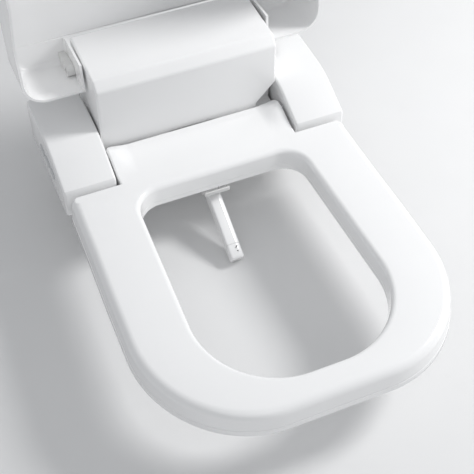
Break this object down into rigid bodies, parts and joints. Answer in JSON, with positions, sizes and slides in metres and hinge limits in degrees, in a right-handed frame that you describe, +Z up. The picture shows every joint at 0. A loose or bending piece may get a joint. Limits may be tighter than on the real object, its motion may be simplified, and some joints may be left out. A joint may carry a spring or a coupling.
{
  "type": "electric bidet seat",
  "caption": "Toilet seat with a raised housing at its rear, a heated ring seat, a deep hinged lid and a motor-driven spray wand.",
  "frame": {"origin": "midway between the two fixing studs, on the plane of the bowl's rim", "axes": "+Z up, -Y towards the user (front of the seat), +X to the right of a person looking at the front"},
  "size_m": [0.404, 0.5627, 0.7142],
  "materials": {
    "white_plastic": "gloss",
    "inner_plastic": "satin",
    "seat_plastic": "gloss",
    "soft_rubber": "matt",
    "dark_rubber": "matt",
    "steel": "brushed",
    "brass": "satin",
    "damper_plastic": "satin",
    "heater_film": "satin",
    "motor_case": "satin",
    "circuit_board": "satin",
    "dark_plastic": "satin",
    "tube_plastic": "satin",
    "button_plastic": "satin"
  },
  "bodies": {
    "housing": {"base_tray": "inner_plastic", "inner_frame": "inner_plastic", "mounting_plate": "inner_plastic", "fixing_bolts": "steel", "rubber_feet": "dark_rubber", "main_cover": "white_plastic", "rear_panel": "inner_plastic", "left_shoulder": "white_plastic", "right_shoulder": "white_plastic", "cover_screws": "steel", "lid_dampers": "damper_plastic", "seat_dampers": "damper_plastic", "nozzle_guide": "inner_plastic", "nozzle_shield": "inner_plastic", "drive_motor": "motor_case", "water_heater": "inner_plastic", "heater_element": "brass", "inlet_valve": "inner_plastic", "valve_coil": "dark_plastic", "water_inlet": "brass", "inlet_filter": "brass", "flow_divider": "inner_plastic", "water_hoses": "tube_plastic", "control_box": "inner_plastic", "control_board": "circuit_board", "board_transformer": "dark_plastic", "power_gland": "dark_rubber", "button_board": "circuit_board"},
    "lid": {"lid_shell": "white_plastic", "lid_hinge_arms": "inner_plastic", "lid_hinge_shafts": "steel", "lid_bumpers": "soft_rubber"},
    "seat": {"seat_top_shell": "seat_plastic", "seat_base_shell": "seat_plastic", "seat_heater": "heater_film", "seat_bumpers": "soft_rubber", "seat_hinge_shafts": "steel"},
    "wand": {"spray_wand": "white_plastic", "wand_tip": "white_plastic", "wand_carriage": "inner_plastic"},
    "screw": {"drive_screw": "steel"},
    "power_key": {"power_button": "button_plastic"},
    "wash_key": {"wash_button": "button_plastic"},
    "stop_key": {"stop_button": "button_plastic"},
    "release_key": {"release_button": "button_plastic"}
  },
  "joints": [
    {"name": "lid_hinge", "type": "hinge", "parent": "housing", "child": "lid", "pos_m": [0, 0.016, 0.114], "axis": [1, 0, 0], "range_deg": [0, 95]},
    {"name": "seat_hinge", "type": "hinge", "parent": "housing", "child": "seat", "pos_m": [0, -0.078, 0.04], "axis": [1, 0, 0], "range_deg": [-91, 0]},
    {"name": "wand_slide", "type": "slide", "parent": "housing", "child": "wand", "axis": [0, -0.8988, -0.4384], "range_m": [-0.092, 0]},
    {"name": "screw_spin", "type": "hinge", "parent": "housing", "child": "screw", "pos_m": [0.017, -0.09221, 0.0006], "axis": [0, -0.8988, -0.4384], "range_deg": [-2800, 0]},
    {"name": "power_press", "type": "slide", "parent": "housing", "child": "power_key", "axis": [1, 0, 0], "range_m": [0, 0.0015], "stiffness_N_per_m": 500},
    {"name": "wash_press", "type": "slide", "parent": "housing", "child": "wash_key", "axis": [1, 0, 0], "range_m": [0, 0.0015], "stiffness_N_per_m": 500},
    {"name": "stop_press", "type": "slide", "parent": "housing", "child": "stop_key", "axis": [1, 0, 0], "range_m": [0, 0.0015], "stiffness_N_per_m": 500},
    {"name": "release_press", "type": "slide", "parent": "housing", "child": "release_key", "axis": [-1, 0, 0], "range_m": [0, 0.0025], "stiffness_N_per_m": 500}
  ],
  "couplings": [
    {"joint": "screw_spin", "follows": "wand_slide", "rad_per_m": 523.6}
  ]
}
